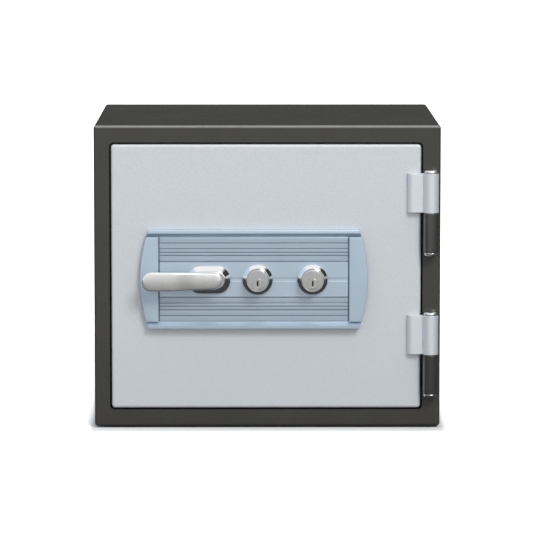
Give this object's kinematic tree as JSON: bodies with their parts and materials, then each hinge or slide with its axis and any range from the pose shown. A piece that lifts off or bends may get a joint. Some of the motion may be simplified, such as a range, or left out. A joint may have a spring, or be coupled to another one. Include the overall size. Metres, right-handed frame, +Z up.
{
  "type": "fire-resistant safe",
  "caption": "Small fire-resistant safe: insulated steel body, outside-hinged door, lever handle, key locks, sliding bolts and a shelf inside.",
  "frame": {"origin": "middle of the overall footprint on the floor, with the lever's reach counted in the depth", "axes": "+X to the right, towards the hinges; the door faces -Y; +Z up"},
  "size_m": [0.412, 0.3996, 0.362],
  "materials": {
    "dark_paint": "satin",
    "dark_gloss": "gloss",
    "pale_paint": "satin",
    "liner_plastic": "matte",
    "fire_fill": "matte",
    "rubber": "matte",
    "chrome": "polished",
    "satin_steel": "satin",
    "plain_steel": "satin",
    "anodised": "satin",
    "brass": "satin"
  },
  "bodies": {
    "safe_body": {"outer_casing": "dark_paint", "rear_panel": "dark_paint", "door_frame": "dark_paint", "body_insulation": "fire_fill", "liner_collar": "liner_plastic", "inner_liner": "liner_plastic", "shelf": "liner_plastic", "foot_front_left": "rubber", "foot_front_right": "rubber", "foot_rear_left": "rubber", "foot_rear_right": "rubber", "anchor_sleeve_left": "plain_steel", "anchor_plug_left": "liner_plastic", "anchor_sleeve_right": "plain_steel", "anchor_plug_right": "liner_plastic", "bolt_keeper_plate": "plain_steel", "hinge_keeper_plate": "plain_steel", "upper_frame_knuckle": "dark_gloss", "upper_hinge_pin": "chrome", "upper_pin_cap": "chrome", "lower_frame_knuckle": "dark_gloss", "lower_hinge_pin": "chrome", "lower_pin_cap": "chrome"},
    "door": {"door_skin": "pale_paint", "door_insulation": "fire_fill", "door_liner": "liner_plastic", "door_seal": "rubber", "boltwork_plate": "plain_steel", "liner_screw_1": "plain_steel", "liner_screw_2": "plain_steel", "liner_screw_3": "plain_steel", "liner_screw_4": "plain_steel", "bolt_guide": "plain_steel", "fixed_bolt_bracket": "plain_steel", "guide_stud_left": "brass", "guide_stud_right": "brass", "lock_panel": "anodised", "panel_cap_left": "anodised", "panel_cap_right": "anodised", "handle_escutcheon": "chrome", "upper_door_knuckle": "pale_paint", "upper_fixed_bolt": "satin_steel", "lower_door_knuckle": "pale_paint", "lower_fixed_bolt": "satin_steel", "left_lock_collar": "chrome", "left_lock_cylinder": "satin_steel", "left_lock_nut": "brass", "right_lock_collar": "chrome", "right_lock_cylinder": "satin_steel", "right_lock_nut": "brass"},
    "handle": {"handle_lever": "satin_steel", "handle_spindle": "plain_steel", "drive_crank": "plain_steel"},
    "left_key": {"left_key_plug": "satin_steel", "left_lock_cam": "plain_steel"},
    "right_key": {"right_key_plug": "satin_steel", "right_lock_cam": "plain_steel"},
    "bolts": {"bolt_bar": "plain_steel", "upper_live_bolt": "satin_steel", "lower_live_bolt": "satin_steel"}
  },
  "joints": [
    {"name": "door_hinge", "type": "hinge", "parent": "safe_body", "child": "door", "pos_m": [0.1943, -0.17275, 0.182], "axis": [0, 0, 1], "range_deg": [0, 180]},
    {"name": "handle_turn", "type": "hinge", "parent": "door", "child": "handle", "pos_m": [-0.064, -0.16325, 0.1794], "axis": [0, 1, 0], "range_deg": [0, 50]},
    {"name": "bolt_slide", "type": "slide", "parent": "door", "child": "bolts", "axis": [-1, 0, 0], "range_m": [0, 0.022]},
    {"name": "left_key_turn", "type": "hinge", "parent": "door", "child": "left_key", "pos_m": [-0.0115, -0.16325, 0.1761], "axis": [0, 1, 0], "range_deg": [0, 90]},
    {"name": "right_key_turn", "type": "hinge", "parent": "door", "child": "right_key", "pos_m": [0.0537, -0.16325, 0.1761], "axis": [0, 1, 0], "range_deg": [0, 90]}
  ],
  "couplings": [
    {"joint": "bolt_slide", "follows": "handle_turn", "m_per_rad": 0.025183}
  ]
}
